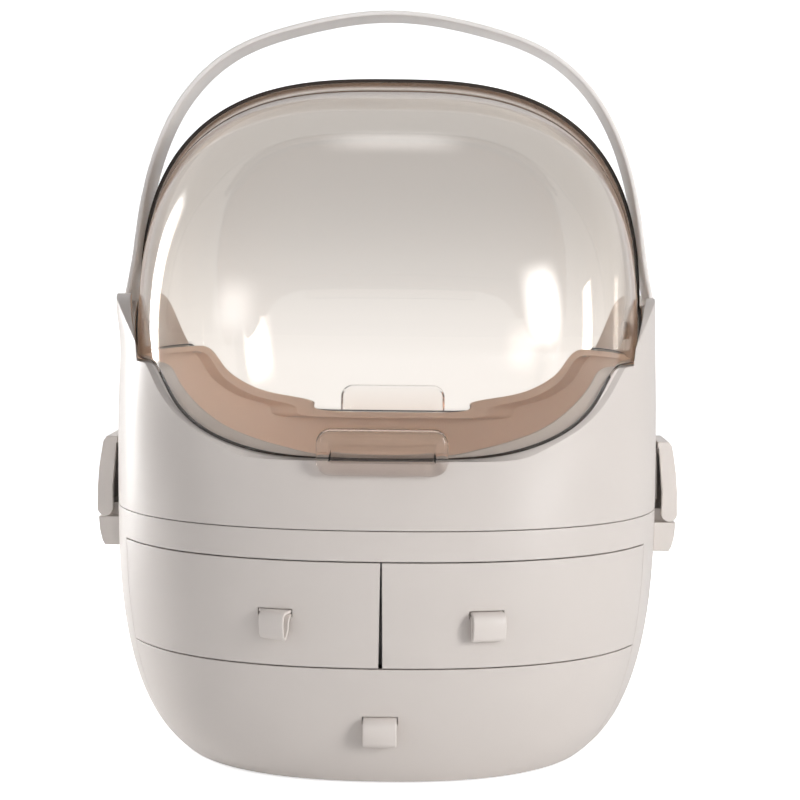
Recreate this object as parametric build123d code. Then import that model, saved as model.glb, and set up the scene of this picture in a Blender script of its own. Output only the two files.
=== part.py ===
from build123d import *
import os
from math import atan2, copysign, cos, degrees, hypot, pi, sin, sqrt

os.makedirs("parts", exist_ok=True)

# All sizes are in millimetres. X is to the right, the front faces -Y, Z is up.
# The origin is the middle of the footprint, on the surface that the box stands on.

# ---------------------------------------------------------------- egg-shaped body
side_margin = 4.2            # body outside the ears' outer faces, at the widest height
rim_margin = 2.255           # body outside the outer lid at the rear rim
widest_height = 120.0
taper_depth = 130.0          # below the widest height, where the sides would close
taper_start_power = 2.4      # how late the sides start to draw in
taper_end_power = 5.9        # how bluntly they close
shoulder_rise = 439.0        # above the widest height, where the sides would close
depth_follow = 0.48          # how far the depth draws in with the width
plan_power_low = 2.3         # superellipse power of the plan at and below the case seam
plan_power_gain = 0.5        # what the power gains up to the rim corner
wall = 3.0

# ---------------------------------------------------------------- heights
foot_thickness = 1.0
row_seam_height = 54.6       # between the lower drawer and the two upper ones
header_seam_height = 102.0   # between the upper drawers and the cabinet's header strip
case_seam_height = 115.6     # between the cabinet and the upper case
drawer_gap = 0.6             # all round a drawer front
case_gap = 0.4

# ---------------------------------------------------------------- cabinet
front_plane = -51.0          # drawer fronts are the part of the egg before this plane
top_plate = 2.8
step_inset = 12.0            # the raised step on the cabinet that locates the case
step_height = 2.4
shelf_thickness = 2.2
divider_thickness = 2.0
carcass_play = 0.3           # between inner panels and the walls that hold them
nose_play = 0.9              # between the shelf and the drawer fronts that pass it
panel_front_inset = 16.0     # shelf and divider, from the body's front and back
panel_back_inset = 14.0
base_thickness = 2.2
base_front_inset = 26.0
foot_radius = 9.0
foot_spot = (62.0, 58.0)

# ---------------------------------------------------------------- base screws
screw_radius = 1.25
screw_head_radius = 2.3
screw_head_height = 1.2
boss_radius = 3.2
boss_height = 6.0
boss_play = 0.05
rib_thickness = 3.0          # ribs from the bosses to the wall
screw_spots = ((-92.5, 10.0), (92.5, 10.0), (-40.0, 80.0), (40.0, 80.0))

# ---------------------------------------------------------------- drawers
tray_wall = 2.0
tray_back = 58.0
tray_side_play = 2.5         # between a tray's side and the cabinet wall at the tray's back
tray_lift = 0.3              # running gap under a tray
upper_tray_drop = 5.0        # tray tops below the header seam and the row seam
lower_tray_drop = 4.6
front_split_top = 0.7        # the slit between the upper fronts, at its top and bottom
front_split_bottom = 1.8
upper_pull_x = 46.7
upper_pull_rise = 23.9       # above the row seam
lower_pull_z = 31.0

# ---------------------------------------------------------------- strap pulls
strap_width = 15.0
strap_thickness = 1.35
loop_half_depth = 2.9
loop_half_height = 6.0
pull_play = 0.4              # strap to drawer front
anchor_width = 17.8
anchor_height = 7.0
anchor_thickness = 1.6
anchor_play = 0.45           # clip to the tray's inner face

# ---------------------------------------------------------------- rim of the upper case
rim_height = 145.8           # along the front
rear_rim_rise = 2.8          # the rear rim is this much higher
front_flat_margin = 0.252    # the flat rim ends this far inside the lid that it meets
rear_flat_margin = 1.73
rim_corner_y = 72.0          # where the lids' seat meets the ears
rim_corner_z = 186.6
skin_corner_y = 75.5         # where the outer skin of the wall meets the ears
skin_corner_z = 186.8
rim_skin = 2.0               # thickness of the outer skin that stops lower at the corners
front_seat = ((0.22, 0.12), (0.42, 0.32), (0.61, 0.60), (0.74, 0.85))
rear_seat = ((0.195, 0.166), (0.341, 0.297), (0.516, 0.458), (0.668, 0.642), (0.776, 0.839))
front_skin = ((0.246, 0.12), (0.470, 0.315), (0.66, 0.529), (0.811, 0.759))
rear_skin = ((0.215, 0.154), (0.376, 0.283), (0.570, 0.437), (0.722, 0.602), (0.845, 0.780))
rim_flange_width = 7.0
rim_flange_thickness = 3.0
floor_thickness = 2.4

# ---------------------------------------------------------------- lids
pivot_height = 200.0
lid_power = 2.8              # superellipse power of the lids' turned profile
rear_lid_radius = 122.4
rear_lid_half_width = 123.8
lid_thickness = 1.8
nest_gap = 3.1               # between the lids at the crown
pole_gap = 1.4               # between the lids at the pivots
lid_seat_gap = 0.4           # lid edge to rim
lid_lap_front = 4.3          # degrees that the outer lid reaches before the crown
lid_lap_back = 4.0           # degrees that the inner lid reaches behind the crown
lid_boss_radius = 12.8
tab_width = 58.0
tab_height = 20.6
tab_drop = 6.1               # a tab's bottom below the rim
tab_reach = 5.0              # how far a tab stands out of the body at the rim
tab_corner = 6.5             # rounding of its outline
tab_edge = 3.0               # rounding of its front edges
tab_body_gap = 0.4

# ---------------------------------------------------------------- ears, pivots and handle
ear_thickness = 3.1
ear_gap = 0.4                # outer lid to ear
ear_outline = ((60.5, 204.6), (51.0, 211.6), (39.0, 215.4), (25.0, 216.8))
hub_radius = 12.5
pivot_radius = 3.0
running_play = 0.05          # radial play of a shaft in its bore
pin_head_radius = 6.5
pin_head_height = 1.2
washer_radius = 5.0
washer_thickness = 1.0
clip_radius = 4.4
clip_thickness = 1.2
clip_play = 0.3
pin_tail = 0.4
handle_width = 32.0
handle_thickness = 2.4
handle_swing = 30.0          # degrees each way
handle_play = 0.3
finger_gap = 29.8            # crown of the outer lid to the underside of the handle
handle_curve = ((0.9715, 0.184), (0.9446, 0.343), (0.89, 0.543), (0.792, 0.718),
                (0.615, 0.867), (0.346, 0.957))

# ---------------------------------------------------------------- side latches
latch_half_width = 17.0
latch_drop = 22.2            # bracket's bottom and pin below the case seam
latch_pin_drop = 4.1
latch_pin_out = 6.1          # pin outside the body's widest side
latch_pin_radius = 1.0
latch_pin_cover = 1.0        # closed end of the bore in each cheek
latch_pin_end_play = 0.2
lever_end_radius = 3.8
lever_cheek = 3.4
lever_skin = 1.4
lever_rise = 31.0            # lever's top above the case seam
hook_height = 3.2
hook_out = 0.1               # hook's tip, catch and ridge outside the body's widest side
catch_out = 0.5
ridge_out = 1.7
ridge_height = 2.4
catch_half_width = 12.0
catch_start = 2.4            # above the case seam
latch_play = 0.4
latch_root_depth = 5.5       # behind the wall's outer face, cut away to fit it
bracket_side = ((0.7, 0), (1.2, -6.3), (2.5, -11.7), (3.8, -13.9))

# ---------------------------------------------------------------- worked-out sizes
rear_lid_inner = rear_lid_radius - lid_thickness
front_lid_radius = rear_lid_inner - nest_gap
front_lid_half_width = rear_lid_half_width - lid_thickness - pole_gap
ear_inner_x = rear_lid_half_width + ear_gap
ear_face_x = ear_inner_x + ear_thickness
body_half_width = ear_face_x + side_margin
rim_below_pivot = pivot_height - rim_height
body_half_depth = sqrt(rear_lid_radius ** 2 - rim_below_pivot ** 2) + rim_margin
rear_rim_height = rim_height + rear_rim_rise
front_flat_end = sqrt(front_lid_radius ** 2 - rim_below_pivot ** 2) - front_flat_margin
rear_flat_end = sqrt(rear_lid_radius ** 2 - (pivot_height - rear_rim_height) ** 2)
rear_flat_end -= rear_flat_margin
front_draw = rear_lid_radius - front_lid_radius
handle_half_width = ear_face_x + handle_play + handle_thickness
handle_rise = rear_lid_radius + finger_gap + handle_thickness
ear_top = max(z for y, z in ear_outline)
body_bottom = foot_thickness
egg_top = ear_top + 10.0
base_top = body_bottom + base_thickness
shelf_bottom = row_seam_height - shelf_thickness / 2
shelf_top = row_seam_height + shelf_thickness / 2
cabinet_top = case_seam_height - case_gap / 2
case_bottom = case_seam_height + case_gap / 2
case_floor_bottom = cabinet_top + step_height
case_floor_top = case_floor_bottom + floor_thickness
panel_front = panel_front_inset - body_half_depth
panel_back = body_half_depth - panel_back_inset
upper_pull_z = row_seam_height + upper_pull_rise
latch_bottom = case_seam_height - latch_drop
latch_pin_x = body_half_width + latch_pin_out
latch_pin_z = case_seam_height - latch_pin_drop
latch_base_top = latch_pin_z - lever_end_radius - latch_play
latch_root_x = body_half_width - latch_root_depth
knuckle_radius = lever_end_radius - lever_skin - latch_play
lever_top = case_seam_height + lever_rise
hook_bottom = lever_top - hook_height
hook_tip_x = body_half_width + hook_out
skin_tangent = (-1, 1.3)     # direction in which the skin's edge runs up into the ear
far = 200.0                  # well outside the body, for cutting tools
standing = (Align.CENTER, Align.CENTER, Align.MIN)


# ---------------------------------------------------------------- the egg
def half_width(z):
    """Half-width of the body at height z."""
    if z < widest_height:
        drop = (widest_height - z) / taper_depth
        return body_half_width * (1 - drop ** taper_start_power) ** (1 / taper_end_power)
    return body_half_width * sqrt(1 - ((z - widest_height) / shoulder_rise) ** 2)


def half_depth(z):
    """Half-depth of the body at height z; it draws in with the width."""
    return body_half_depth - depth_follow * (body_half_width - half_width(z))


def front_lean(z):
    """How far the front draws in above the case seam, to meet the smaller inner lid."""
    share = (z - case_seam_height) / (rim_height - case_seam_height)
    share = min(1.0, max(0.0, share))
    return front_draw * share ** 2 * (3 - 2 * share)


def plan_power(z):
    """The plan squares up above the case seam, so that it clears the lids' corners."""
    climb = max(0.0, z - case_seam_height) / (rim_corner_z - case_seam_height)
    return plan_power_low + plan_power_gain * climb


def plan_curve(z, inset):
    """Closed superellipse through points evenly spaced in its own angle."""
    power = plan_power(z)
    points = []
    for step in range(24):
        angle = 2 * pi * step / 24
        x = copysign(abs(cos(angle)) ** (2 / power), cos(angle)) * (half_width(z) - inset)
        depth = half_depth(z) - inset - (front_lean(z) if sin(angle) < 0 else 0)
        y = copysign(abs(sin(angle)) ** (2 / power), sin(angle)) * depth
        points.append((x, y))
    return Spline(*points, periodic=True)


def egg(inset):
    """The body's outer form, or one a little smaller, as a solid."""
    steps = 11
    sections = []
    for step in range(steps + 1):
        z = body_bottom + (egg_top - body_bottom) * (step / steps) ** 1.6
        sections.append(Pos(0, 0, z) * make_face(plan_curve(z, inset)))
    return loft(sections)


def plan_plate(z_plan, inset, z_low, z_high):
    """Flat plate with the body's plan at one height, a little smaller."""
    outline = make_face(plan_curve(z_plan, inset))
    return Pos(0, 0, z_low) * extrude(outline, amount=z_high - z_low)


def reach_x(z, y, inset):
    """Half-width of the inset plan at height z and distance y from the middle."""
    power = plan_power(z)
    share = 1 - (abs(y) / (half_depth(z) - inset)) ** power
    return (half_width(z) - inset) * share ** (1 / power)


def box(x_low, x_high, y_low, y_high, z_low, z_high):
    """Box between two corners."""
    size = Box(x_high - x_low, y_high - y_low, z_high - z_low, align=Align.MIN)
    return Pos(x_low, y_low, z_low) * size


def slab(z_low, z_high):
    """Everything between two heights."""
    return box(-far, far, -far, far, z_low, z_high)


def side_prism(outline, x_low, x_high):
    """Prism along X of a face drawn in the side view, Y to the right and Z up."""
    return Pos(x_low, 0, 0) * extrude(Plane.YZ * outline, amount=x_high - x_low)


def front_prism(outline, y_low, y_high):
    """Prism along Y of a face drawn in the front view, X to the right and Z up."""
    return Pos(0, y_high, 0) * extrude(Plane.XZ * outline, amount=y_high - y_low)


def x_cylinder(radius, x_low, x_high, z):
    """Cylinder along X at height z."""
    return side_prism(Pos(0, z) * Circle(radius), x_low, x_high)


def mirrored(shape):
    """The same piece on the other side of the box."""
    return mirror(shape, about=Plane.YZ)


body = egg(0)
body_inside = egg(wall)
flange_inside = egg(rim_flange_width)
skin_inside = egg(rim_skin)
tray_inside = egg(wall + tray_wall)


# ---------------------------------------------------------------- lower cabinet
def make_cabinet():
    """Side and back walls, header strip, top plate with its locating step, screw bosses."""
    shell = body & slab(body_bottom, cabinet_top)
    shell -= body_inside & slab(body_bottom, cabinet_top - top_plate)
    shell -= box(-far, far, -far, front_plane + drawer_gap / 2, 0,
                 header_seam_height + drawer_gap / 2)
    shell += plan_plate(cabinet_top, step_inset, cabinet_top - top_plate, case_floor_bottom)
    for x, y in screw_spots:
        outward = Rot(0, 0, degrees(atan2(y, x)))
        rib = outward * box(hypot(x, y), far, -rib_thickness / 2, rib_thickness / 2, base_top,
                            base_top + boss_height)
        boss = Pos(x, y, base_top) * Cylinder(boss_radius, boss_height, align=standing)
        shell += (boss + rib) & body
        shell -= Pos(x, y, base_top) * Cylinder(screw_radius + boss_play, boss_height * 2)
    return shell


def make_shelf():
    """Panel between the drawer rows; its front runs inside the drawer fronts."""
    back = plan_plate(shelf_bottom, wall + carcass_play, shelf_bottom, shelf_top)
    back &= box(-far, far, front_plane, panel_back, 0, far)
    nose = plan_plate(shelf_bottom, wall + nose_play, shelf_bottom, shelf_top)
    nose &= box(-far, far, panel_front, front_plane, 0, far)
    return back + nose


def make_divider():
    """Upright panel between the two upper drawers."""
    return box(-divider_thickness / 2, divider_thickness / 2, panel_front, panel_back,
               shelf_top, cabinet_top - top_plate)


def make_base_plate():
    """Floor panel, with recessed screw holes."""
    plate = plan_plate(body_bottom, wall + carcass_play, body_bottom, base_top)
    plate &= box(-far, far, base_front_inset - body_half_depth, far, 0, far)
    for x, y in screw_spots:
        plate -= Pos(x, y, body_bottom) * Cylinder(screw_radius + boss_play, base_thickness * 4)
        plate -= Pos(x, y, body_bottom) * Cylinder(screw_head_radius + boss_play,
                                                   2 * screw_head_height)
    return plate


def make_screws():
    """Pan-head screws that hold the base plate to the bosses."""
    screws = []
    for x, y in screw_spots:
        head = Cylinder(screw_head_radius, screw_head_height, align=standing)
        shank = Cylinder(screw_radius, base_thickness + boss_height - 1, align=standing)
        screws.append(Pos(x, y, body_bottom) * (head + shank))
    return Compound(screws)


def make_feet():
    """Thin round pads under the base plate: one in the middle and four about it."""
    pad = Cylinder(foot_radius, foot_thickness, align=standing)
    x, y = foot_spot
    around = [Pos(sx * x, sy * y, 0) * pad for sx in (-1, 1) for sy in (-1, 1)]
    return Compound([pad, *around])


# ---------------------------------------------------------------- drawers
def front_slot(place):
    """Slot for a strap, through the front and the tray wall behind it."""
    slot = box(-strap_width / 2 - pull_play, strap_width / 2 + pull_play, -wall,
               wall + 2 * tray_wall, -strap_thickness - pull_play, strap_thickness + pull_play)
    return place * slot


def pull_place(x, z):
    """Where a strap leaves the drawer front: on its face and square to it."""
    power = plan_power(z)
    lean = degrees(atan2(half_depth(z + 1) - half_depth(z - 1), 2))
    y = -half_depth(z) * (1 - (abs(x) / half_width(z)) ** power) ** (1 / power)
    normal_x = copysign((abs(x) / half_width(z)) ** (power - 1) / half_width(z), x)
    normal_y = (abs(y) / half_depth(z)) ** (power - 1) / half_depth(z)
    return Pos(x, y, z) * Rot(0, 0, degrees(atan2(normal_x, normal_y))) * Rot(lean, 0, 0)


def tray_block(z_low, z_high, y_low, y_high, side_inset):
    """Straight part of a tray: its sides follow the cabinet wall at the tray's back."""
    levels = [z_low + (z_high - z_low) * step / 4 for step in range(5)]
    inset = wall + tray_side_play
    right = [(reach_x(z, tray_back, inset) - side_inset, z) for z in levels]
    left = [(-x, z) for x, z in reversed(right)]
    return front_prism(make_face(Polyline(*right, *left, close=True)), y_low, y_high)


def make_tray(z_low, z_high, place, x_low=-far, x_high=far):
    """Open tray: it fills the front's hollow, then runs straight back."""
    split = front_plane - drawer_gap / 2
    room = box(x_low, x_high, -far, far, z_low, z_high)
    outside = body_inside & box(-far, far, -far, split, z_low, z_high)
    outside += tray_block(z_low, z_high, split, tray_back, 0)
    hollow_low = z_low + tray_wall
    hollow = tray_inside & box(-far, far, -far, split - tray_wall, hollow_low, far)
    hollow += tray_block(hollow_low, z_high + 1, split - 4 * tray_wall, tray_back - tray_wall,
                         tray_wall)
    hollow &= box(x_low + tray_wall, x_high - tray_wall, -far, far, 0, far)
    return (outside & room) - hollow - front_slot(place)


def make_front(z_low, z_high, place):
    """Curved drawer front: the part of the egg's wall before the front plane."""
    shell = body - body_inside
    shell &= box(-far, far, -far, front_plane - drawer_gap / 2, z_low, z_high)
    return shell - front_slot(place)


def split_upper_front(front, side):
    """One half of the upper front, with the slit that widens downwards."""
    low = row_seam_height + drawer_gap / 2
    high = header_seam_height - drawer_gap / 2
    edge = [(side * front_split_bottom / 2, low - 1), (side * far, low - 1),
            (side * far, high + 1), (side * front_split_top / 2, high + 1)]
    return front & front_prism(make_face(Polyline(*edge, close=True)), -far, far)


def make_pull(place):
    """Strap loop: a tongue through the slot and a loop that hangs before the front."""
    loop_y = -loop_half_depth - pull_play
    loop_z = strap_thickness - loop_half_height
    ring = Pos(loop_y, loop_z) * Ellipse(loop_half_depth, loop_half_height)
    ring -= Pos(loop_y, loop_z) * Ellipse(loop_half_depth - strap_thickness,
                                          loop_half_height - strap_thickness)
    tongue_end = wall + tray_wall + anchor_play
    tongue = Pos((loop_y + tongue_end) / 2, 0) * Rectangle(tongue_end - loop_y,
                                                           2 * strap_thickness)
    return place * side_prism(ring + tongue, -strap_width / 2, strap_width / 2)


def make_anchor(place):
    """Clip on the strap's end, flat against the inside of the tray."""
    low = wall + tray_wall + anchor_play
    return place * box(-anchor_width / 2, anchor_width / 2, low, low + anchor_thickness,
                       -anchor_height / 2, anchor_height / 2)


# ---------------------------------------------------------------- upper case
def above_rim(skin, toward_middle, up):
    """Everything above the rim line, of the lids' seat or of the wall's outer skin."""
    if skin:
        corner = (skin_corner_y, skin_corner_z)
        sweeps = (front_skin, rear_skin)
        end_tangent = skin_tangent
    else:
        corner = (rim_corner_y, rim_corner_z)
        sweeps = (front_seat, rear_seat)
        end_tangent = (-1, 0)
    lines = []
    for flat, height, sweep in ((front_flat_end, rim_height, sweeps[0]),
                                (rear_flat_end, rear_rim_height, sweeps[1])):
        points = [(flat, height)]
        points += [(flat + (corner[0] - flat) * u, height + (corner[1] - height) * v)
                   for u, v in sweep]
        points.append(corner)
        lines.append([(y - toward_middle, z + up) for y, z in points])
    y_end, z_end = end_tangent
    front = Spline(*[(-y, z) for y, z in lines[0]], tangents=((1, 0), (-y_end, z_end)))
    back = Spline(*reversed(lines[1]), tangents=((-y_end, -z_end), (1, 0)))
    around = Polyline(back @ 1, (far, lines[1][0][1]), (far, 2 * far), (-far, 2 * far),
                      (-far, lines[0][0][1]), front @ 0)
    return side_prism(make_face([front, Line(front @ 1, back @ 0), back, around]), -far, far)


def dome(half_width_at_pivot, radius):
    """Solid turned about the lids' pivot axis from a superellipse profile."""
    points = []
    for step in range(25):
        angle = pi * (1 - step / 24)
        x = copysign(abs(cos(angle)) ** (2 / lid_power), cos(angle)) * half_width_at_pivot
        points.append((x, abs(sin(angle)) ** (2 / lid_power) * radius))
    points[0] = (-half_width_at_pivot, 0)
    points[-1] = (half_width_at_pivot, 0)
    profile = make_face([Spline(*points), Line(points[-1], points[0])])
    return Pos(0, 0, pivot_height) * revolve(profile, axis=Axis.X)


def fan():
    """Side view of what the handle's arms sweep: a disc and the strip above it, swung."""
    strip = Pos(0, far / 4) * Rectangle(handle_width + 2 * handle_play, far / 2)
    swept = Circle(handle_width / 2 + handle_play) + strip
    for step in range(1, 7):
        for side in (-1, 1):
            swept += Rot(0, 0, side * handle_swing * step / 6) * strip
    return Pos(0, pivot_height) * swept


def handle_edges():
    """Outer and inner curve of the handle in the front view, from ear to ear."""
    side = [(handle_half_width, pivot_height + 3)]
    side += [(handle_half_width * u, pivot_height + handle_rise * v) for u, v in handle_curve]
    top = [(0, pivot_height + handle_rise)]
    points = side + top + [(-x, z) for x, z in reversed(side)]
    outer = Spline(*points, tangents=((0, 1), (0, -1)))
    inner_points = []
    for step in range(25):
        spot = outer.position_at(step / 24)
        along = outer.tangent_at(step / 24)
        inner_points.append((spot.X - along.Y * handle_thickness,
                             spot.Y + along.X * handle_thickness))
    inner = Spline(*inner_points, tangents=((0, 1), (0, -1)))
    return outer, inner


def arm_sweep_cut():
    """Space on the right side that the handle's arm needs, outside its inner face."""
    handle_inner = handle_edges()[1]
    low = pivot_height - handle_width
    inner_x = handle_half_width - handle_thickness - handle_play
    samples = [handle_inner.position_at(step / 48) for step in range(1, 8)]
    profile = [(0, 0), (inner_x, 0), (inner_x, 3)]
    profile += [(spot.X - handle_play, spot.Y - pivot_height) for spot in samples]
    profile.append((0, profile[-1][1]))
    kept = revolve(make_face(Polyline(*profile, close=True)), axis=Axis.X)
    swept = side_prism(fan(), 60, far) & slab(low, pivot_height + profile[-1][1] - 1)
    hub = x_cylinder(hub_radius, 0, far, pivot_height)
    disc_cut = x_cylinder(handle_width / 2 + handle_play, inner_x, far, pivot_height)
    return (swept - hub) & slab(pivot_height - hub_radius, far * 2), \
        (swept - Pos(0, 0, pivot_height) * kept) & hub, disc_cut


def ear_region():
    """Side view of the two shoulders and the hub between them."""
    foot = rim_corner_z - 1
    half = [(skin_corner_y, skin_corner_z), *ear_outline]
    y_out, z_out = skin_tangent
    back = Spline(*half, tangents=((y_out, z_out), (-1, 0)))
    front = Spline(*[(-y, z) for y, z in reversed(half)], tangents=((-1, 0), (y_out, -z_out)))
    y, z = half[-1]
    feet = Polyline(front @ 1, (-skin_corner_y, foot), (skin_corner_y, foot), back @ 0)
    return make_face([back, Line((y, z), (-y, z)), front, feet])


def make_case():
    """Upper case: walls, floor, rim flange that the lids close on, and the two ears."""
    seat_cut = above_rim(False, 0, 0)
    flange_room = above_rim(False, 2, -rim_flange_thickness)
    case = (body & slab(case_bottom, rim_corner_z + 1)) - seat_cut
    case -= above_rim(True, 0, 0) - skin_inside
    hollow = slab(case_floor_top, far * 2)
    case -= (body_inside & hollow) - flange_room
    case -= flange_inside & hollow
    case -= plan_plate(cabinet_top, step_inset - carcass_play, 0, case_floor_bottom)
    ears = body & side_prism(ear_region(), -far, far)
    ears -= dome(ear_inner_x, rear_lid_radius + ear_gap)
    ears &= slab(rim_corner_z - 1, egg_top)
    case += ears & (seat_cut + box(-far, far, -rim_corner_y, rim_corner_y, 0, rim_corner_z))
    sweep, hub_face, disc_cut = arm_sweep_cut()
    for cut in (sweep, hub_face, disc_cut):
        case -= cut
        case -= mirrored(cut)
    return case - x_cylinder(pivot_radius, -far, far, pivot_height)


# ---------------------------------------------------------------- lids
def lid_shell(half_width_at_pivot, radius):
    """Thin domed shell, turned about the pivot axis."""
    return dome(half_width_at_pivot, radius) - dome(half_width_at_pivot - lid_thickness,
                                                    radius - lid_thickness)


def make_lid(half_width_at_pivot, radius, side, lap):
    """Lid on one side: side -1 is the front; lap is its reach past the crown, in degrees."""
    shell = lid_shell(half_width_at_pivot, radius)
    half = Pos(side * far / 2, 0) * Rectangle(far, 4 * far)
    half = Pos(0, pivot_height) * (Rot(0, 0, side * lap) * half)
    sector = side_prism(half, -far, far) & above_rim(False, -lid_seat_gap, lid_seat_gap)
    bosses = x_cylinder(lid_boss_radius, -far, far, pivot_height)
    lid = shell & (sector + bosses)
    return lid - x_cylinder(pivot_radius + running_play, -far, far, pivot_height)


def make_tab(half_width_at_pivot, radius, side):
    """Pull tab on a lid: a rounded block that reaches down over the rim."""
    rim_z = rim_height if side < 0 else rear_rim_height
    bottom = rim_z - tab_drop
    wall_y = half_depth(bottom) - (front_lean(bottom) if side < 0 else 0)
    face_y = wall_y + tab_reach
    block = box(-tab_width / 2, tab_width / 2, 0, face_y, bottom, bottom + tab_height)
    block = fillet(block.edges().filter_by(Axis.Y), tab_corner)
    block = fillet(block.faces().sort_by(Axis.Y)[-1].edges(), tab_edge)
    block -= dome(half_width_at_pivot, radius)
    block -= box(-far, far, -far, wall_y + tab_body_gap, 0, rim_z + lid_seat_gap)
    block &= box(-far, far, radius / 2, far, 0, far)
    return block if side > 0 else mirror(block, about=Plane.XZ)


# ---------------------------------------------------------------- pivots and handle
def make_pivot_pin():
    """Right pivot pin: flush head in the handle, shank through ear and lids."""
    tail = front_lid_half_width - lid_thickness - clip_play - clip_thickness - pin_tail
    head = x_cylinder(pin_head_radius, handle_half_width - pin_head_height, handle_half_width,
                      pivot_height)
    return head + x_cylinder(pivot_radius, tail, handle_half_width, pivot_height)


def make_pivot_ring(radius, x_high, thickness):
    """Ring on the right pivot pin."""
    ring = x_cylinder(radius, x_high - thickness, x_high, pivot_height)
    return ring - x_cylinder(pivot_radius, 0, far, pivot_height)


def make_handle():
    """One band from ear to ear, with round ends about the pivots."""
    outer, inner = handle_edges()
    end = pivot_height - handle_width / 2
    inner_x = handle_half_width - handle_thickness
    right_end = Polyline(inner @ 0, (inner_x, end), (handle_half_width, end), outer @ 0)
    left_end = Polyline(outer @ 1, (-handle_half_width, end), (-inner_x, end), inner @ 1)
    outline = make_face([outer, left_end, inner, right_end])
    band = front_prism(outline, -handle_width / 2, handle_width / 2)
    strip = Pos(0, handle_rise / 2 + 1) * Rectangle(handle_width, handle_rise + 2)
    side_view = Pos(0, pivot_height) * (strip + Circle(handle_width / 2))
    band &= side_prism(side_view, -far, far)
    head_room = x_cylinder(pin_head_radius + running_play, handle_half_width - pin_head_height,
                           far, pivot_height)
    band -= head_room + mirrored(head_room)
    return band - x_cylinder(pivot_radius + running_play, -far, far, pivot_height)


# ---------------------------------------------------------------- side latches
def make_latch_bracket():
    """Right bracket: a tapered block on the cabinet with a knuckle for the pin."""
    out_x = latch_pin_x + lever_end_radius
    side = [(out_x - inward, latch_base_top + up) for inward, up in bracket_side]
    block = Polyline((latch_root_x, latch_base_top), *side, (latch_root_x, side[-1][1]),
                     close=True)
    bracket = front_prism(make_face(block), -latch_half_width, latch_half_width)
    eye = front_prism(Pos(latch_pin_x, latch_pin_z) * Circle(knuckle_radius),
                      -catch_half_width, catch_half_width)
    bracket += eye
    bracket += box(latch_root_x, latch_pin_x - latch_play, -catch_half_width, catch_half_width,
                   latch_base_top - 1, latch_pin_z + knuckle_radius)
    return bracket - latch_bore(latch_pin_radius, latch_half_width)


def latch_bore(radius, half_length):
    """Cylinder along Y on the right latch's pivot."""
    return front_prism(Pos(latch_pin_x, latch_pin_z) * Circle(radius), -half_length,
                       half_length)


def make_latch_lever():
    """Right lever: outer skin, two cheeks on the pin and a hook over the catch."""
    out_x = latch_pin_x + lever_end_radius
    rise = lever_top - latch_pin_z
    outer = [(out_x, latch_pin_z), (out_x - 0.1, latch_pin_z + 0.30 * rise),
             (out_x - 0.8, latch_pin_z + 0.57 * rise), (out_x - 2.0, latch_pin_z + 0.81 * rise),
             (out_x - 2.8, latch_pin_z + 0.94 * rise), (out_x - 4.3, lever_top)]
    inner = [(hook_tip_x, lever_top), (hook_tip_x, hook_bottom), (hook_tip_x + 0.6, hook_bottom),
             (hook_tip_x + 1.4, latch_pin_z + 0.64 * rise),
             (hook_tip_x + 2.4, latch_pin_z + 0.30 * rise),
             (latch_pin_x - lever_end_radius, latch_pin_z)]
    outline = make_face(Polyline(*outer, *inner, close=True))
    outline += Pos(latch_pin_x, latch_pin_z) * Circle(lever_end_radius)
    lever = front_prism(outline, -latch_half_width, latch_half_width)
    pocket_outer = [(x - lever_skin, z) for x, z in outer[:4]]
    pocket = [(latch_root_x, latch_pin_z - far / 4), (out_x - lever_skin, latch_pin_z - far / 4)]
    pocket += pocket_outer + [(out_x - 2.0 - lever_skin, hook_bottom), (latch_root_x, hook_bottom)]
    half = latch_half_width - lever_cheek
    lever -= front_prism(make_face(Polyline(*pocket, close=True)), -half, half)
    heel = x_strip(out_x - lever_skin - latch_play, far)
    lever -= heel & box(-far, far, -half, half, 0, latch_pin_z)
    return lever - latch_bore(latch_pin_radius + running_play, latch_half_width - latch_pin_cover)


def x_strip(x_low, x_high):
    """Everything between two distances from the middle plane."""
    return box(x_low, x_high, -far, far, 0, 2 * far)


def make_latch_catch():
    """Right catch: a pad on the upper case with a ridge that the hook drops behind."""
    top = hook_bottom - latch_play
    pad = box(latch_root_x, body_half_width + catch_out, -catch_half_width, catch_half_width,
              case_seam_height + catch_start, top)
    pad += box(latch_root_x, body_half_width + ridge_out, -catch_half_width, catch_half_width,
               top - ridge_height, top)
    return pad


# ---------------------------------------------------------------- all pieces
def upper_drawer(side):
    """Front, tray, strap and clip of one upper drawer; side -1 is the left."""
    place = pull_place(side * upper_pull_x, upper_pull_z)
    low = row_seam_height + drawer_gap / 2
    high = header_seam_height - drawer_gap / 2
    inner_edge = divider_thickness / 2 + drawer_gap
    limits = (-far, -inner_edge) if side < 0 else (inner_edge, far)
    front = split_upper_front(make_front(low, high, place), side)
    tray = make_tray(shelf_top + tray_lift, header_seam_height - upper_tray_drop, place,
                     *limits)
    return front, tray, make_pull(place), make_anchor(place)


def lower_drawer():
    """Front, tray, strap and clip of the lower drawer."""
    place = pull_place(0, lower_pull_z)
    front = make_front(body_bottom, row_seam_height - drawer_gap / 2, place)
    tray = make_tray(base_top + tray_lift, row_seam_height - lower_tray_drop, place)
    return front, tray, make_pull(place), make_anchor(place)


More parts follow.
